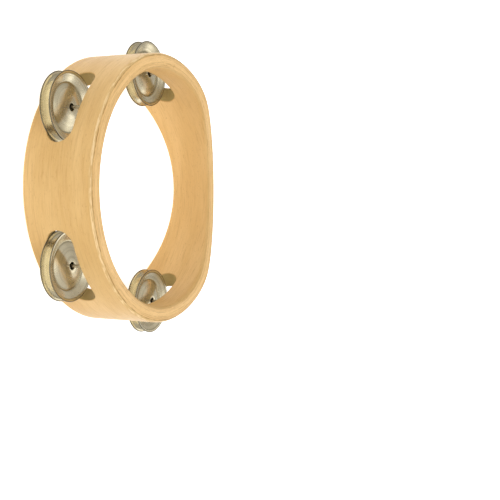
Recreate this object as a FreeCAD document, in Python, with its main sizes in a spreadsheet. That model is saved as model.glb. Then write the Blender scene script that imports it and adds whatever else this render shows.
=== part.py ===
import FreeCAD, Part
import math
import os

import Sketcher

# A headless tambourine: a hoop of five bent wood veneers with four slots, thinned to a waist where
# the hand holds it. Each slot has a steel pin, driven in from the lower rim, and two jingles that
# slide and rattle on it.
# Z is the ring's axis, the lower rim lies on Z = 0 and the grip is on +Y. Millimetres throughout.

SIZES = {
    "outer_radius": 89.0,
    "ring_depth": 50.0,
    "rim_round": 2.5,
    "face_ply": 1.6,
    "cross_ply": 2.2,
    "middle_ply": 2.9,
    "grip_depth": 31.0,
    "grip_radius": 234.0,
    "grip_blend": 80.0,
    "slot_length": 54.5,
    "slot_height": 18.7,
    "slot_middle": 23.0,
    "slot_round": 0.6,
    "pin_radius": 1.0,
    "pin_recess": 0.6,
    "pin_seat": 8.0,
    "pin_chamfer": 0.3,
    "jingle_radius": 22.0,
    "hole_radius": 2.75,
    "sheet_metal": 0.6,
    "dome_rise": 3.4,
    "valley_circle": 15.2,
    "valley_round": 2.0,
    "flange_slope": 30.0,
    "lip_circle": 20.4,
    "lip_slope": 10.0,
    "rest_gap": 0.1,
    "station_1": 72.5,
    "station_2": 143.5,
    "station_3": 214.0,
    "station_4": 288.0,
}
STATIONS = (1, 2, 3, 4)                         # places for a pair, by angle from the grip
PLIES = ("inner_ply", "inner_cross_ply", "core_ply", "outer_cross_ply", "outer_ply")
PLY_CELLS = ("face_ply", "cross_ply", "middle_ply", "cross_ply", "face_ply")

document = FreeCAD.newDocument("headless_tambourine")
sheet = document.addObject("Spreadsheet::Sheet", "Sizes")
for row, (alias, value) in enumerate(SIZES.items(), start=1):
    sheet.set(f"A{row}", alias)
    sheet.set(f"B{row}", str(value))
    sheet.setAlias(f"B{row}", alias)
document.recompute()


def size(alias):
    return float(sheet.get(alias))


OUTER = size("outer_radius")
WALL = sum(size(cell) for cell in PLY_CELLS)
PIN_CIRCLE = OUTER - WALL / 2
DEPTH = size("ring_depth")
MIDDLE = DEPTH / 2
INNER_FACE = "Sizes.outer_radius - 2 * Sizes.face_ply - 2 * Sizes.cross_ply - Sizes.middle_ply"
CLEARANCE = 10.0
REACH = OUTER + CLEARANCE                       # cutting tools run this far, clear of the wall
SEAM_ANGLE = -90.0                              # keeps the faces' seam between the slots
LEAST_CUT = 1000.0                              # cubic mm: less means that a cut missed the wood
NEAR = 0.01                                     # two measures this close are the same
SPOTS = 5                                       # points looked at along an edge
SLOT_MIDDLE = size("slot_middle")
SLOT_FLOOR = SLOT_MIDDLE - size("slot_height") / 2
SLOT_CEILING = SLOT_MIDDLE + size("slot_height") / 2


def origin_part(body, role):
    return next(item for item in body.Origin.OriginFeatures if item.Role == role)


def new_body(name):
    body = document.addObject("PartDesign::Body", name)
    body.Label = name
    return body


def new_sketch(body, name, plane, offset=FreeCAD.Placement()):
    sketch = body.newObject("Sketcher::SketchObject", name)
    sketch.AttachmentSupport = [(origin_part(body, plane), "")]
    sketch.MapMode = "FlatFace"
    sketch.AttachmentOffset = offset
    return sketch


def bind(sketch, constraint, expression):
    """Add a dimension to a sketch and drive it from the sheet."""
    index = sketch.addConstraint(constraint)
    sketch.setExpression(f"Constraints[{index}]", expression)


def add_chain(sketch, section):
    """Draw lines and arcs that follow each other, and join the ends that meet."""
    first = sketch.addGeometry(section, False)[0]
    for step in range(len(section)):
        here = first + step
        following = first + (step + 1) % len(section)
        ends = [(a, b) for a in (1, 2) for b in (1, 2)]
        meeting = min(ends, key=lambda pair: sketch.getPoint(here, pair[0]).distanceToPoint(
            sketch.getPoint(following, pair[1])))
        sketch.addConstraint(Sketcher.Constraint("Coincident", here, meeting[0], following, meeting[1]))
    return first


def arc(start, middle, end):
    return Part.Arc(start, middle, end)


def line(start, end):
    return Part.LineSegment(start, end)


def point(x, y):
    return FreeCAD.Vector(x, y, 0)


def on_circle(centre, radius, angle):
    turn = math.radians(angle)
    return centre + point(radius * math.cos(turn), radius * math.sin(turn))


def station_place(number, height=0.0, flip=False):
    """Where a pin or jingle stands: angles run anticlockwise from the grip on +Y."""
    turn = math.radians(size(f"station_{number}"))
    place = FreeCAD.Vector(-PIN_CIRCLE * math.sin(turn), PIN_CIRCLE * math.cos(turn), height)
    tilt = 180.0 if flip else 0.0
    return FreeCAD.Placement(place, FreeCAD.Rotation(FreeCAD.Vector(1, 0, 0), tilt))


# --- hoop -------------------------------------------------------------------------------------

def grip_relief(side):
    """The outline of the wood taken off one rim: a long hollow curve that blends into the rim."""
    hollow = size("grip_radius")
    blend = size("grip_blend")
    lowest = size("grip_depth") / 2
    hollow_centre = point(0, lowest + hollow)
    blend_height = MIDDLE - blend
    reach = math.sqrt((hollow + blend) ** 2 - (hollow_centre.y - blend_height) ** 2)
    blend_centre = point(reach, blend_height)
    toward = (blend_centre - hollow_centre).normalize()
    join = hollow_centre + toward * hollow
    crest = point(reach, MIDDLE)
    halfway = (math.degrees(math.atan2(join.y - blend_height, join.x - reach)) + 90) / 2
    shoulder = on_circle(blend_centre, blend, halfway)
    top = MIDDLE + size("rim_round") * 2

    def at(spot, mirror=1):
        return point(mirror * spot.x, MIDDLE + side * spot.y)

    return [
        arc(at(crest, -1), at(shoulder, -1), at(join, -1)),
        arc(at(join, -1), at(point(0, lowest)), at(join)),
        arc(at(join), at(shoulder), at(crest)),
        line(at(crest), at(point(reach, top))),
        line(at(point(reach, top)), at(point(reach, top), -1)),
        line(at(point(reach, top), -1), at(crest, -1)),
    ]


def on_one_face(spots):
    """True when every spot lies on the hoop's outer face, or every spot on its inner face."""
    radii = [math.hypot(spot.x, spot.y) for spot in spots]
    return any(all(abs(radius - face) < NEAR for radius in radii) for face in (OUTER, OUTER - WALL))


def rim_edges(shape):
    """Names of the edges where the rims meet the inner and outer faces, without upright seams."""
    names = []
    for number, edge in enumerate(shape.Edges, start=1):
        spots = edge.discretize(SPOTS)
        start, end = spots[0], spots[-1]
        upright = abs(start.z - end.z) > NEAR and math.hypot(start.x - end.x, start.y - end.y) < NEAR
        if on_one_face(spots) and not upright:
            names.append(f"Edge{number}")
    return names


def slot_edges(shape):
    """Names of the edges where the slots break through the inner and outer faces."""
    names = []
    for number, edge in enumerate(shape.Edges, start=1):
        spots = edge.discretize(SPOTS)
        level = all(SLOT_FLOOR - NEAR < spot.z < SLOT_CEILING + NEAR for spot in spots)
        if level and on_one_face(spots):
            names.append(f"Edge{number}")
    return names


def cut_slot(body, number):
    """One long slot with round ends, cut straight out through the wall at its station."""
    station = size(f"station_{number}")
    turned = FreeCAD.Placement(FreeCAD.Vector(), FreeCAD.Rotation(FreeCAD.Vector(0, 1, 0), station))
    outline = new_sketch(body, f"slot_outline_{number}", "XZ_Plane", turned)
    half = size("slot_height") / 2
    straight = size("slot_length") / 2 - half
    high = SLOT_MIDDLE + half
    low = SLOT_MIDDLE - half
    first = add_chain(outline, [
        line(point(-straight, high), point(straight, high)),
        arc(point(straight, high), point(straight + half, SLOT_MIDDLE), point(straight, low)),
        line(point(straight, low), point(-straight, low)),
        arc(point(-straight, low), point(-straight - half, SLOT_MIDDLE), point(-straight, high)),
    ])
    bind(outline, Sketcher.Constraint("Radius", first + 1, half), "Sizes.slot_height / 2")
    slot = body.newObject("PartDesign::Pocket", f"slot_{number}")
    slot.Profile = outline
    slot.Length = REACH


def drill_pin_hole(body, number):
    """The pin's hole, from the lower rim through the slot and on into the wood above it."""
    spot = new_sketch(body, f"pin_spot_{number}", "XY_Plane")
    centre = station_place(number).Base
    radius = size("pin_radius")
    spot.addGeometry(Part.Circle(point(centre.x, centre.y), FreeCAD.Vector(0, 0, 1), radius), False)
    bind(spot, Sketcher.Constraint("Radius", 0, radius), "Sizes.pin_radius")
    hole = body.newObject("PartDesign::Pocket", f"pin_hole_{number}")
    hole.Profile = spot
    hole.Reversed = True
    hole.Length = SLOT_CEILING + size("pin_seat")


def shaped_hoop():
    body = new_body("hoop")

    seam_turn = FreeCAD.Placement(FreeCAD.Vector(), FreeCAD.Rotation(FreeCAD.Vector(0, 0, 1), SEAM_ANGLE))
    ring = new_sketch(body, "ring_section", "XY_Plane", seam_turn)
    for index, (radius, cell) in enumerate(((OUTER, "Sizes.outer_radius"), (OUTER - WALL, INNER_FACE))):
        ring.addGeometry(Part.Circle(point(0, 0), FreeCAD.Vector(0, 0, 1), radius), False)
        ring.addConstraint(Sketcher.Constraint("Coincident", index, 3, -1, 1))
        bind(ring, Sketcher.Constraint("Radius", index, radius), cell)
    blank = body.newObject("PartDesign::Pad", "blank")
    blank.Profile = ring
    blank.setExpression("Length", "Sizes.ring_depth")
    document.recompute()
    full = blank.Shape.Volume

    outline = new_sketch(body, "grip_outline", "XZ_Plane")
    for side in (1, -1):
        add_chain(outline, grip_relief(side))
    relief = body.newObject("PartDesign::Pocket", "grip_relief")
    relief.Profile = outline
    relief.Length = REACH
    document.recompute()
    if relief.Shape.Volume > full - LEAST_CUT:
        raise RuntimeError("the grip relief cut nothing")

    rims = body.newObject("PartDesign::Fillet", "rim_rounding")
    rims.Base = (relief, rim_edges(relief.Shape))
    rims.setExpression("Radius", "Sizes.rim_round")
    document.recompute()

    for number in STATIONS:
        cut_slot(body, number)
        drill_pin_hole(body, number)
    document.recompute()
    if body.Shape.Volume > rims.Shape.Volume - LEAST_CUT:
        raise RuntimeError("the slots and pin holes cut nothing")

    drilled = body.Tip
    softened = body.newObject("PartDesign::Fillet", "slot_rounding")
    softened.Base = (drilled, slot_edges(drilled.Shape))
    softened.setExpression("Radius", "Sizes.slot_round")
    body.Tip = softened
    document.recompute()
    return body


def veneer(hoop, name, inner, outer):
    """One wood layer of the hoop: what the hoop shares with a thin cylindrical shell."""
    skins = []
    for part, radius in (("outside", outer), ("inside", inner)):
        cylinder = document.addObject("Part::Cylinder", f"{name}_{part}")
        cylinder.setExpression("Radius", radius)
        cylinder.setExpression("Height", "Sizes.ring_depth")
        skins.append(cylinder)
    shell = document.addObject("Part::Cut", f"{name}_shell")
    shell.Base, shell.Tool = skins
    layer = document.addObject("Part::Common", name)
    layer.Base = hoop
    layer.Tool = shell
    layer.Label = name
    return layer


def veneers(hoop):
    layers = []
    inner = INNER_FACE
    for name, cell in zip(PLIES, PLY_CELLS):
        outer = f"{inner} + Sizes.{cell}"
        layers.append(veneer(hoop, name, inner, outer))
        inner = outer
    return layers


# --- pins -------------------------------------------------------------------------------------

def pin(number):
    body = new_body(f"pin_{number}")
    section = new_sketch(body, f"pin_section_{number}", "XY_Plane")
    section.addGeometry(Part.Circle(point(0, 0), FreeCAD.Vector(0, 0, 1), size("pin_radius")), False)
    section.addConstraint(Sketcher.Constraint("Coincident", 0, 3, -1, 1))
    bind(section, Sketcher.Constraint("Radius", 0, size("pin_radius")), "Sizes.pin_radius")
    shank = body.newObject("PartDesign::Pad", f"pin_shank_{number}")
    shank.Profile = section
    shank.Length = SLOT_CEILING + size("pin_seat") - size("pin_recess")
    document.recompute()
    ends = body.newObject("PartDesign::Chamfer", f"pin_ends_{number}")
    ends.Base = (shank, [f"Edge{i}" for i, edge in enumerate(shank.Shape.Edges, start=1) if edge.isClosed()])
    ends.setExpression("Size", "Sizes.pin_chamfer")
    body.Placement = station_place(number, size("pin_recess"))
    return body


# --- jingles ----------------------------------------------------------------------------------

class JingleShape:
    """The pressed sheet's section, from the hole outwards: dome, valley, flange and lip."""

    def __init__(self):
        self.half = size("sheet_metal") / 2
        rise = size("dome_rise")
        valley = size("valley_circle")
        self.valley_round = size("valley_round")
        self.dome_round = (rise ** 2 + valley ** 2) / (2 * rise) - self.valley_round
        self.dome_centre = point(0, self.half + rise - self.dome_round)
        self.valley_centre = point(valley, self.half + self.valley_round)
        away = self.dome_centre - self.valley_centre
        self.join_angle = math.degrees(math.atan2(away.y, away.x))
        self.flange = size("flange_slope")
        self.lip = size("lip_slope")
        start = on_circle(self.valley_centre, self.valley_round, self.flange - 90)
        reach = size("lip_circle") - start.x
        self.crease = start + point(reach, reach * math.tan(math.radians(self.flange)))
        run = (size("jingle_radius") - self.crease.x) / math.cos(math.radians(self.lip))
        self.edge = self.crease + on_circle(point(0, 0), run, self.lip)

    def side(self, offset):
        """The points along one face of the sheet: offset is +half above the middle line, -half below."""
        dome = self.dome_round + offset
        trough = self.valley_round - offset
        hole = size("hole_radius")
        start = point(hole, self.dome_centre.y + math.sqrt(dome ** 2 - hole ** 2))
        join = on_circle(self.valley_centre, trough, self.join_angle)
        crown_angle = (math.degrees(math.acos(hole / dome)) + self.join_angle + 180) / 2
        crown = on_circle(self.dome_centre, dome, crown_angle)
        low = on_circle(self.valley_centre, trough, -90)
        rise_start = on_circle(self.valley_centre, trough, self.flange - 90)
        between = (self.flange + self.lip) / 2
        spread = offset / math.cos(math.radians((self.flange - self.lip) / 2))
        crease = on_circle(self.crease, spread, between + 90)
        rim = on_circle(self.edge, offset, self.lip + 90)
        return start, crown, join, low, rise_start, crease, rim

    def section(self):
        start, crown, join, low, rise_start, crease, rim = self.side(self.half)
        under_start, under_crown, under_join, under_low, under_rise, under_crease, under_rim = (
            self.side(-self.half))
        return [
            arc(start, crown, join),
            arc(join, low, rise_start),
            line(rise_start, crease),
            line(crease, rim),
            line(rim, under_rim),
            line(under_rim, under_crease),
            line(under_crease, under_rise),
            arc(under_rise, under_low, under_join),
            arc(under_join, under_crown, under_start),
            line(under_start, start),
        ]

    def height(self):
        """How far the rim stands above the lowest line of the valley."""
        return self.side(self.half)[-1].y

    def reach(self):
        """The jingle's real radius, at the lower corner of its cut edge."""
        return self.side(-self.half)[-1].x


def jingle(name, shape, place):
    body = new_body(name)
    section = new_sketch(body, f"{name}_section", "XZ_Plane")
    hole_edge = add_chain(section, shape.section()) + len(shape.section()) - 1
    hole = size("hole_radius")
    bind(section, Sketcher.Constraint("DistanceX", -1, 1, hole_edge, 1, hole), "Sizes.hole_radius")
    spun = body.newObject("PartDesign::Revolution", f"{name}_spun")
    spun.Profile = section
    spun.ReferenceAxis = (section, ["V_Axis"])
    spun.Angle = 360.0
    body.Placement = place
    return body


def rim_stops(shape):
    """The heights where a jingle's rim meets the round ends of its slot, below and above."""
    half = size("slot_height") / 2
    past_straight = shape.reach() - (size("slot_length") / 2 - half)
    clear = math.sqrt(half ** 2 - past_straight ** 2)
    return SLOT_MIDDLE - clear, SLOT_MIDDLE + clear


def main():
    hoop = shaped_hoop()
    pieces = veneers(hoop)
    shape = JingleShape()
    gap = size("rest_gap")
    lowest, highest = rim_stops(shape)
    lower_seat = lowest + gap + shape.height()
    for number in STATIONS:
        pieces.append(pin(number))
        pieces.append(jingle(f"lower_jingle_{number}", shape, station_place(number, lower_seat, flip=True)))
        pieces.append(jingle(f"upper_jingle_{number}", shape, station_place(number, lower_seat + gap)))
    document.recompute()

    for item in document.Objects:
        if "Invalid" in item.State or "Error" in item.State:
            raise RuntimeError(f"{item.Label} failed to recompute: {item.State}")
    os.makedirs("parts", exist_ok=True)
    for piece in pieces:
        solid = piece.Shape
        if solid.isNull() or not solid.isValid() or len(solid.Solids) != 1:
            raise RuntimeError(f"{piece.Label} is not one sound solid")
        solid.exportStep(f"parts/{piece.Label}.step")
        print(f"{piece.Label}: {solid.Volume:.1f} cubic mm")
    travel = (highest - lowest - 2 * shape.height() - 3 * gap) / 2
    print(f"wall {WALL:.2f}, pin circle {PIN_CIRCLE:.2f}, lower seat {lower_seat:.3f}")
    print(f"jingle height {shape.height():.3f}, radius {shape.reach():.3f}, travel each {travel:.3f}")


main()
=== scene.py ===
import math
import random

import bpy
from mathutils import Matrix, Vector


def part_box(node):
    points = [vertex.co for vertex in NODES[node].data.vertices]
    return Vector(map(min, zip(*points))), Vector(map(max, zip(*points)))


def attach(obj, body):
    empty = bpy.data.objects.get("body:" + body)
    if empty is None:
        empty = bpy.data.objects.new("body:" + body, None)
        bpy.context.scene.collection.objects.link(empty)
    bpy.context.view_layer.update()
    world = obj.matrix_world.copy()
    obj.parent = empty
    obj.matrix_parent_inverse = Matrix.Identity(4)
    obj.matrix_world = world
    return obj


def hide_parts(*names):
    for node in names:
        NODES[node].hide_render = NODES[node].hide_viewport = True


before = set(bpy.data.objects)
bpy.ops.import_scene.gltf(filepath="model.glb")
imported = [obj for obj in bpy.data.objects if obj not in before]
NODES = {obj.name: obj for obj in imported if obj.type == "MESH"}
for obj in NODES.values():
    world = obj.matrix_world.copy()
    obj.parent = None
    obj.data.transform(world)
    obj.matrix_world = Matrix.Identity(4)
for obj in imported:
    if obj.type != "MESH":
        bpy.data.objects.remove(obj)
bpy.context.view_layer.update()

# A headless tambourine at rest on its lower rim: lacquered bent maple veneers, steel pins and
# eight nickel-plated jingles. Metres, in the row frame: Z is the ring's axis and the grip is on +Y.

SCENE = bpy.context.scene
MM = 0.001

# --- sizes that the looks need ------------------------------------------------------------------

OUTER_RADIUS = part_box("outer_ply")[1].x
RING_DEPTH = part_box("outer_ply")[1].z
WALL = 10.5 * MM
PLY_THICKNESS = (1.6 * MM, 2.2 * MM, 2.9 * MM, 2.2 * MM, 1.6 * MM)
PIN_CIRCLE = OUTER_RADIUS - WALL / 2
SLOT_MIDDLE = 23.0 * MM
SAWN_AND_SHADED_FADE = (10.5 * MM, 11.5 * MM)              # from the slot's middle height: past its sawn walls, which also carry painted shade
RIM_HIGHLIGHT_FADE = (23.1 * MM, 23.8 * MM)            # from the ring's middle height: on to the rims, where the painted highlight lies
PAIRS = (1, 2, 3, 4)

SHEET = 0.6 * MM                                # jingle: pressed sheet metal
HOLE_RADIUS = 2.75 * MM
VALLEY_CIRCLE = 15.2 * MM                       # the ring-shaped valley round the dome
VALLEY_ROUND = 2.0 * MM
DOME_RISE = 3.4 * MM
FLANGE_SLOPE = math.radians(30)
LIP_CIRCLE = 20.4 * MM                          # where the flange bends flatter, into the lip
LIP_SLOPE = math.radians(10)
LIP_BEND = 1.0 * MM
RIM_RADIUS = 22.0 * MM
OUT_OF_TRUE = 0.02 * MM                         # each of the waves that pressing leaves in the rim
DOME_STEPS = 30
VALLEY_STEPS = 16
FLANGE_STEPS = 30
LATHE_STEPS = 192


# --- shader helper ------------------------------------------------------------------------------

class Shader:
    """Adds nodes to one material or world, and links them by socket name."""

    def __init__(self, owner):
        owner.use_nodes = True
        self.owner = owner
        self.tree = owner.node_tree

    def plug(self, node, key, value):
        socket = node.inputs[key]
        if isinstance(value, bpy.types.NodeSocket):
            self.tree.links.new(value, socket)
        else:
            socket.default_value = value

    def add(self, kind, inputs=(), **settings):
        node = self.tree.nodes.new(kind)
        for key, value in settings.items():
            setattr(node, key, value)
        for key, value in dict(inputs).items():
            self.plug(node, key, value)
        return node

    def dress(self, inputs):
        """Plugs the surface shader's own sockets, and gives back the material."""
        for key, value in inputs.items():
            self.plug(self.surface, key, value)
        return self.owner

    def maths(self, operation, *values):
        node = self.add("ShaderNodeMath", operation=operation)
        for index, value in enumerate(values):
            self.plug(node, index, value)
        return node.outputs[0]

    def away(self, value, middle):
        """How far value is from middle, either way."""
        return self.maths("ABSOLUTE", self.maths("SUBTRACT", value, middle))

    def vector(self, x, y, z):
        return self.add("ShaderNodeCombineXYZ", {"X": x, "Y": y, "Z": z}).outputs[0]

    def split(self, vector):
        return self.add("ShaderNodeSeparateXYZ", {"Vector": vector}).outputs

    def length(self, vector):
        node = self.add("ShaderNodeVectorMath", {0: vector}, operation="LENGTH")
        return node.outputs["Value"]

    def direction(self, vector):
        node = self.add("ShaderNodeVectorMath", {0: vector}, operation="NORMALIZE")
        return node.outputs["Vector"]

    def noise(self, vector, scale=1.0, detail=2.0, roughness=0.5, depth=None):
        inputs = {"Vector": vector, "Scale": scale, "Detail": detail, "Roughness": roughness}
        if depth is not None:
            inputs["W"] = depth
        dimensions = "3D" if depth is None else "4D"
        return self.add("ShaderNodeTexNoise", inputs, noise_dimensions=dimensions).outputs["Fac"]

    def ramp(self, value, low, high, start=0.0, end=1.0):
        """value from low..high, smoothly to start..end, and no further."""
        inputs = {"Value": value, "From Min": low, "From Max": high, "To Min": start, "To Max": end}
        return self.add("ShaderNodeMapRange", inputs, interpolation_type="SMOOTHSTEP").outputs[0]

    def mix(self, factor, first, second):
        node = self.add("ShaderNodeMix", data_type="RGBA")
        for index, value in ((0, factor), (6, first), (7, second)):
            self.plug(node, index, value)
        return node.outputs[2]

    def bump(self, height, strength, distance, normal=None):
        inputs = {"Height": height, "Strength": strength, "Distance": distance}
        if normal is not None:
            inputs["Normal"] = normal
        return self.add("ShaderNodeBump", inputs).outputs[0]


def new_material(name):
    material = bpy.data.materials.new(name)
    shader = Shader(material)
    shader.surface = shader.tree.nodes["Principled BSDF"]
    shader.place = shader.add("ShaderNodeTexCoord").outputs["Object"]
    return shader


def rgb(red, green, blue):
    return (red, green, blue, 1.0)


# --- wood ---------------------------------------------------------------------------------------

GLUE_STRENGTHS = (0.22, 0.30, 0.30, 0.85)       # inner to outer: the outer line opened while sanding
GLUE_CIRCLES = [OUTER_RADIUS - WALL + sum(PLY_THICKNESS[:count]) for count in (1, 2, 3, 4)]

STREAK_BROWN = rgb(0.46, 0.27, 0.09)
FIBRE_BROWN = rgb(0.42, 0.25, 0.09)
FLECK_BROWN = rgb(0.36, 0.20, 0.07)
END_GRAIN_BROWN = rgb(0.40, 0.23, 0.09)
GLUE_BROWN = rgb(0.30, 0.165, 0.055)
# pale colour of the painted highlight on the rims' outer rounding
PAINTED_HIGHLIGHT_PALE = rgb(0.93, 0.72, 0.42)
# darker slot walls: the sawn end grain's own tone, with painted shade inside the slots
SAWN_AND_SHADED_OLIVE = rgb(0.42, 0.33, 0.13)


def wood(name, light, dark, fibre_depth, end_grain):
    """Lacquered maple bent round the ring's axis. The grain runs round the ring, so the pattern is
    read from the direction out of the axis, the height and the radius, and has no seam."""
    s = new_material(name)
    axes = s.split(s.place)
    flat = s.vector(axes["X"], axes["Y"], 0.0)
    radius = s.length(flat)
    outward = s.split(s.direction(flat))

    def along(length, height, depth, detail=2.0, roughness=0.5):
        """Noise whose spots are about length long round the ring, height tall and depth deep."""
        turn = OUTER_RADIUS / length
        x = s.maths("MULTIPLY", outward["X"], turn)
        y = s.maths("MULTIPLY", outward["Y"], turn)
        z = s.maths("MULTIPLY", axes["Z"], 1 / height)
        w = s.maths("MULTIPLY", radius, 1 / depth)
        return s.noise(s.vector(x, y, z), detail=detail, roughness=roughness, depth=w)

    clouds = along(60 * MM, 14 * MM, 4 * MM, detail=3.0)
    figure = along(42 * MM, 3.2 * MM, 1.4 * MM, detail=4.0, roughness=0.6)
    fibres = along(9 * MM, 0.45 * MM, 0.4 * MM, detail=3.0, roughness=0.65)
    streaks = along(24 * MM, 1.1 * MM, 0.8 * MM, detail=3.0, roughness=0.6)
    flecks = along(2.2 * MM, 0.6 * MM, 0.5 * MM, detail=1.0)
    speckle = s.noise(s.place, scale=1 / (0.9 * MM), detail=3.0, roughness=0.7)

    colour = s.mix(s.ramp(clouds, 0.3, 0.7), light, dark)
    colour = s.mix(s.ramp(figure, 0.48, 0.72, 0.0, 0.65), colour, dark)
    colour = s.mix(s.ramp(streaks, 0.5, 0.72, 0.0, 0.45), colour, STREAK_BROWN)
    colour = s.mix(s.ramp(fibres, 0.45, 0.72, 0.0, fibre_depth), colour, FIBRE_BROWN)
    colour = s.mix(s.ramp(flecks, 0.62, 0.76, 0.0, 0.45), colour, FLECK_BROWN)
    colour = s.mix(s.ramp(speckle, 0.45, 0.8, 0.0, end_grain), colour, END_GRAIN_BROWN)

    unevenness = s.maths("SUBTRACT", along(5 * MM, 3 * MM, 6 * MM, detail=3.0), 0.5)
    wandering = s.maths("ADD", radius, s.maths("MULTIPLY", unevenness, 0.9 * MM))
    gaps = s.ramp(along(7 * MM, 5 * MM, 9 * MM), 0.38, 0.62)
    for circle, strength in zip(GLUE_CIRCLES, GLUE_STRENGTHS):
        line = s.ramp(s.away(wandering, circle), 0.05 * MM, 0.4 * MM, strength, 0.0)
        colour = s.mix(s.maths("MULTIPLY", line, gaps), colour, GLUE_BROWN)

    # Painted highlight: a broken pale line on the outer rounding of each rim, in place of a lamp's
    # reflection there.
    near_outside = s.ramp(radius, OUTER_RADIUS - 1.3 * MM, OUTER_RADIUS - 0.9 * MM)
    near_rim = s.ramp(s.away(axes["Z"], RING_DEPTH / 2), *RIM_HIGHLIGHT_FADE)
    highlight_breaks = s.ramp(along(6 * MM, 0.7 * MM, 0.8 * MM, detail=3.0), 0.40, 0.58, 0.08, 0.62)
    painted_highlight = s.maths("MULTIPLY", s.maths("MULTIPLY", near_outside, near_rim), highlight_breaks)
    colour = s.mix(painted_highlight, colour, PAINTED_HIGHLIGHT_PALE)

    # Darker slot walls: partly the sawn end grain's own darker tone, partly painted shade inside the
    # slots.
    off_middle = s.away(radius, PIN_CIRCLE)
    inside_wall = s.ramp(off_middle, WALL / 2 - 1.2 * MM, WALL / 2 - 0.2 * MM, 1.0, 0.0)
    beside_slot = s.ramp(s.away(axes["Z"], SLOT_MIDDLE), *SAWN_AND_SHADED_FADE, 0.8, 0.0)
    colour = s.mix(s.maths("MULTIPLY", inside_wall, beside_slot), colour, SAWN_AND_SHADED_OLIVE)

    relief = s.maths("ADD", s.maths("MULTIPLY", fibres, 0.7), s.maths("MULTIPLY", figure, 0.6))
    return s.dress({
        "Base Color": colour,
        "Roughness": s.ramp(fibres, 0.3, 0.75, 0.34, 0.5),
        "Normal": s.bump(relief, 0.4, 0.12 * MM),
        "Specular IOR Level": 0.05,
        "Coat Weight": 0.12,
        "Coat Roughness": 0.12,
    })


# --- metal --------------------------------------------------------------------------------------

NICKEL_LIGHT = rgb(0.79, 0.715, 0.52)
NICKEL_DARK = rgb(0.70, 0.62, 0.435)
# colour of the painted reflection rings
NICKEL_REFLECTION_RING = rgb(0.40, 0.355, 0.22)
NICKEL_TURNED = rgb(0.46, 0.40, 0.27)
# painted shade colours for the creases and for the rim's edge
CREASE_SHADE = rgb(0.30, 0.25, 0.14)
RIM_EDGE_SHADE = rgb(0.11, 0.095, 0.06)
STEEL_LIGHT = rgb(0.60, 0.56, 0.48)
STEEL_DARK = rgb(0.44, 0.40, 0.33)
STEEL_SPOT = rgb(0.25, 0.20, 0.14)


def nickel():
    """Nickel plate on pressed steel: turning marks round the hole, dulled in patches, concentric
    rings of painted reflection, and painted shade in the valley, at the lip's bend and at the rim."""
    s = new_material("nickel_plate")
    own = s.maths("MULTIPLY", s.add("ShaderNodeObjectInfo").outputs["Random"], 50.0)
    axes = s.split(s.place)
    radius = s.length(s.vector(axes["X"], axes["Y"], 0.0))
    out = s.vector(0.0, 0.0, radius)
    turned = s.noise(out, scale=1 / (0.5 * MM), detail=4.0, roughness=0.7, depth=own)
    reflection_rings = s.noise(out, scale=1 / (1.8 * MM), detail=2.0, depth=own)
    smudges = s.noise(s.place, scale=1 / (9 * MM), detail=4.0, roughness=0.6, depth=own)
    dents = s.noise(s.place, scale=1 / (8 * MM), detail=1.0, depth=own)
    fine = s.noise(s.place, scale=1 / (0.7 * MM), detail=3.0, roughness=0.7, depth=own)

    colour = s.mix(s.ramp(smudges, 0.35, 0.7), NICKEL_LIGHT, NICKEL_DARK)
    # Painted reflection: soft concentric darker rings across the disc.
    colour = s.mix(s.ramp(reflection_rings, 0.42, 0.62, 0.0, 0.38), colour, NICKEL_REFLECTION_RING)
    # Painted shade: darker in the valley crease and at the lip's bend.
    in_valley = s.ramp(s.away(radius, VALLEY_CIRCLE), 0.2 * MM, 1.4 * MM, 0.7, 0.0)
    valley_shade = s.maths("MULTIPLY", in_valley, s.ramp(fine, 0.3, 0.6, 0.4, 1.0))
    colour = s.mix(valley_shade, colour, CREASE_SHADE)
    at_bend = s.ramp(s.away(radius, LIP_CIRCLE), 0.1 * MM, 0.7 * MM, 0.4, 0.0)
    colour = s.mix(at_bend, colour, CREASE_SHADE)
    # Painted shade: a dark outline along the rim's edge.
    at_rim = s.ramp(radius, RIM_RADIUS - 0.7 * MM, RIM_RADIUS + 0.05 * MM, 0.0, 0.9)
    colour = s.mix(at_rim, colour, RIM_EDGE_SHADE)
    colour = s.mix(s.ramp(turned, 0.5, 0.8, 0.0, 0.3), colour, NICKEL_TURNED)

    waves = s.bump(dents, 0.6, 0.25 * MM)
    return s.dress({
        "Base Color": colour,
        "Metallic": 0.87,
        "Roughness": s.ramp(smudges, 0.3, 0.75, 0.19, 0.31),
        "Normal": s.bump(turned, 0.25, 0.02 * MM, normal=waves),
    })


def drawn_steel():
    """Steel wire: fine marks along the pin and a few darker spots."""
    s = new_material("drawn_steel")
    axes = s.split(s.place)
    lengthwise = s.vector(axes["X"], axes["Y"], s.maths("MULTIPLY", axes["Z"], 0.04))
    marks = s.noise(lengthwise, scale=1 / (0.15 * MM), detail=3.0, roughness=0.6)
    spots = s.noise(s.place, scale=1 / (1.5 * MM), detail=3.0)
    colour = s.mix(s.ramp(marks, 0.3, 0.7), STEEL_LIGHT, STEEL_DARK)
    colour = s.mix(s.ramp(spots, 0.6, 0.75, 0.0, 0.6), colour, STEEL_SPOT)
    return s.dress({
        "Base Color": colour,
        "Metallic": 1.0,
        "Roughness": s.ramp(marks, 0.3, 0.7, 0.2, 0.38),
        "Normal": s.bump(marks, 0.3, 0.03 * MM),
    })


# --- jingles ------------------------------------------------------------------------------------

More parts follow.
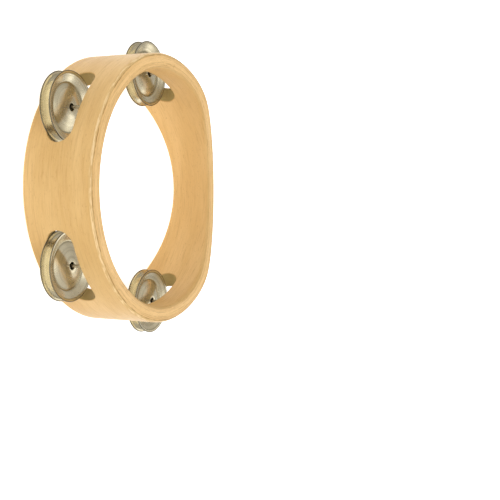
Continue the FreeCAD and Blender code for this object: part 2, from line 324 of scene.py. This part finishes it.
def middle_line():
    """The sheet's middle line from the hole to the rim, as (radius, height, slope) points."""
    half = SHEET / 2
    dome_round = (DOME_RISE ** 2 + VALLEY_CIRCLE ** 2) / (2 * DOME_RISE) - VALLEY_ROUND
    dome_height = half + DOME_RISE - dome_round
    valley_height = half + VALLEY_ROUND
    join = math.atan2(VALLEY_CIRCLE, valley_height - dome_height)
    start = math.asin(HOLE_RADIUS / dome_round)
    points = []
    for step in range(DOME_STEPS):
        turn = start + (join - start) * step / DOME_STEPS
        height = dome_height + dome_round * math.cos(turn)
        points.append((dome_round * math.sin(turn), height, -turn))
    for step in range(VALLEY_STEPS):
        turn = -join + (FLANGE_SLOPE + join) * step / VALLEY_STEPS
        across = VALLEY_CIRCLE + VALLEY_ROUND * math.sin(turn)
        points.append((across, valley_height - VALLEY_ROUND * math.cos(turn), turn))
    across = VALLEY_CIRCLE + VALLEY_ROUND * math.sin(FLANGE_SLOPE)
    height = valley_height - VALLEY_ROUND * math.cos(FLANGE_SLOPE)
    stride = (RIM_RADIUS - across) / FLANGE_STEPS
    for _ in range(FLANGE_STEPS + 1):
        bent = min(1.0, max(0.0, (across - LIP_CIRCLE) / LIP_BEND + 0.5))
        slope = FLANGE_SLOPE + (LIP_SLOPE - FLANGE_SLOPE) * bent
        points.append((across, height, slope))
        across += stride
        height += stride * math.tan(slope)
    return points


def sheet_section():
    """The closed outline of the pressed sheet, with its two cut edges rounded over."""
    half = SHEET / 2
    line = middle_line()

    def offset(point, turn):
        across, height, slope = point
        return across + half * math.cos(slope + turn), height + half * math.sin(slope + turn)

    edge_turns = [math.radians(angle) for angle in (60, 30, 0, -30, -60)]
    top = [offset(point, math.pi / 2) for point in line]
    rim = [offset(line[-1], turn) for turn in edge_turns]
    under = [offset(point, -math.pi / 2) for point in reversed(line)]
    hole = [offset(line[0], math.pi + turn) for turn in edge_turns]
    return top + rim + under + hole


def jingle(name):
    """A lathe-turned sheet in place of a plain CAD jingle, a hand-pressed hair out of true. The
    lower jingle of a pair is the upper one turned over, so each stands rim outwards."""
    low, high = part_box(name)
    centre = (low + high) / 2
    flipped = name.startswith("lower")
    section = sheet_section()
    lowest = min(height for across, height in section)
    dice = random.Random(name)
    waves = [(count, dice.uniform(0, math.tau), dice.uniform(0.3, 1.0)) for count in (2, 3, 5)]
    vertices = []
    for step in range(LATHE_STEPS):
        turn = math.tau * step / LATHE_STEPS
        wobble = sum(size * math.sin(count * turn + phase) for count, phase, size in waves)
        for across, height in section:
            share = max(0.0, (across - VALLEY_CIRCLE) / (RIM_RADIUS - VALLEY_CIRCLE))
            rise = height - lowest + wobble * OUT_OF_TRUE * share
            place = (across * math.cos(turn), across * math.sin(turn), -rise if flipped else rise)
            vertices.append(place)
    count = len(section)
    faces = []
    for step in range(LATHE_STEPS):
        here = step * count
        there = (step + 1) % LATHE_STEPS * count
        for index in range(count):
            following = (index + 1) % count
            face = (here + index, here + following, there + following, there + index)
            faces.append(face if flipped else tuple(reversed(face)))
    mesh = bpy.data.meshes.new(name + "_pressed")
    mesh.from_pydata(vertices, [], faces)
    mesh.shade_smooth()
    piece = bpy.data.objects.new(name + "_pressed", mesh)
    SCENE.collection.objects.link(piece)
    piece.location = Vector((centre.x, centre.y, high.z if flipped else low.z))
    bpy.context.view_layer.update()
    return piece


# --- stage --------------------------------------------------------------------------------------

CAMERA_PLACE = Vector((-0.00343, -0.53545, 0.35465))
CAMERA_BACK = Vector((-0.07204, -0.90741, 0.41403))
CAMERA_RIGHT = Vector((0.00046, 0.41508, 0.90978))
LENS_MM = 66.247
SENSOR_MM = 36.0

FLOOR_SIZE = 8.0
FLOOR_GLOW = 0.75
HORIZON = rgb(0.95, 0.95, 0.95)
STUDIO_WALL = rgb(0.80, 0.77, 0.72)
CEILING = rgb(1.0, 0.98, 0.95)
WORLD_STRENGTH = 0.62

LIGHTS_AIM = Vector((0.0, 0.0, 0.02))
SOFTBOXES = (                                   # name, place and size in metres, watts
    ("overhead", (0.0, -0.55, 1.35), (1.8, 1.2), 9.0),
    ("glint", (-0.35, -0.75, 1.2), (0.12, 0.12), 0.5),
    ("front_fill", (0.6, -1.2, 1.0), (1.2, 0.9), 1.2),
    ("back_rim", (0.5, 1.3, 0.9), (0.8, 0.8), 2.0),
    ("side_fill", (1.3, -0.3, 0.9), (0.8, 0.8), 4.0),
)


def make_camera():
    """From in front of the ring and above it, turned on its side so that up is right."""
    data = bpy.data.cameras.new("camera")
    data.sensor_width = SENSOR_MM
    data.lens = LENS_MM
    camera = bpy.data.objects.new("camera", data)
    SCENE.collection.objects.link(camera)
    back = CAMERA_BACK.normalized()
    right = (CAMERA_RIGHT - back * CAMERA_RIGHT.dot(back)).normalized()
    turn = Matrix((right, back.cross(right), back)).transposed()
    camera.matrix_world = Matrix.Translation(CAMERA_PLACE) @ turn.to_4x4()
    SCENE.camera = camera


def make_floor():
    s = new_material("pale_floor")
    grain = s.noise(s.place, scale=120.0, detail=3.0)
    s.dress({
        "Base Color": s.mix(grain, rgb(0.93, 0.93, 0.93), rgb(0.95, 0.95, 0.95)),
        "Roughness": 0.9,
        "Emission Color": rgb(1.0, 1.0, 1.0),
        "Emission Strength": FLOOR_GLOW,
    })
    bpy.ops.mesh.primitive_plane_add(size=FLOOR_SIZE)
    floor = bpy.context.object
    floor.name = "floor"
    floor.data.materials.append(s.owner)


def make_world():
    """A pale studio: brightest overhead and at the horizon, a little darker between."""
    world = bpy.data.worlds.new("studio")
    SCENE.world = world
    s = Shader(world)
    direction = s.add("ShaderNodeTexCoord").outputs["Generated"]
    height = s.split(direction)["Z"]
    colour = s.mix(s.ramp(height, 0.12, 0.30), HORIZON, STUDIO_WALL)
    colour = s.mix(s.ramp(height, 0.45, 0.75), colour, CEILING)
    background = s.tree.nodes["Background"]
    s.plug(background, "Color", colour)
    s.plug(background, "Strength", WORLD_STRENGTH)


def make_lights():
    for name, place, size, power in SOFTBOXES:
        data = bpy.data.lights.new(name, "AREA")
        data.shape = "RECTANGLE"
        data.size, data.size_y = size
        data.energy = power
        light = bpy.data.objects.new(name, data)
        SCENE.collection.objects.link(light)
        light.location = place
        light.rotation_euler = (Vector(place) - LIGHTS_AIM).to_track_quat("Z", "Y").to_euler()


# --- build --------------------------------------------------------------------------------------

# The inner ply is the face veneer painted a little lighter: painted light that makes up for the
# shade inside the ring.
INNER_LIGHTENED = wood("inner_face_veneer_lightened", rgb(0.70, 0.465, 0.20), rgb(0.63, 0.40, 0.155), 0.28, 0.05)
FACE = wood("face_veneer", rgb(0.655, 0.435, 0.185), rgb(0.58, 0.365, 0.137), 0.4, 0.05)
CROSS = wood("cross_veneer", rgb(0.86, 0.575, 0.265), rgb(0.78, 0.50, 0.21), 0.3, 0.24)
CORE = wood("core_veneer", rgb(0.90, 0.61, 0.29), rgb(0.83, 0.545, 0.235), 0.25, 0.08)
STEEL = drawn_steel()
NICKEL = nickel()

LOOKS = {
    "inner_ply": INNER_LIGHTENED,
    "outer_ply": FACE,
    "inner_cross_ply": CROSS,
    "outer_cross_ply": CROSS,
    "core_ply": CORE,
}
LOOKS.update({f"pin_{number}": STEEL for number in PAIRS})
for node, look in LOOKS.items():
    for material_slot in NODES[node].material_slots:
        material_slot.material = look

for number in PAIRS:
    for side in ("lower", "upper"):
        cad_name = f"{side}_jingle_{number}"
        piece = jingle(cad_name)
        piece.data.materials.append(NICKEL)
        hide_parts(cad_name)
        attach(piece, cad_name)

make_camera()
make_floor()
make_world()
make_lights()
SCENE.view_settings.view_transform = "Standard"
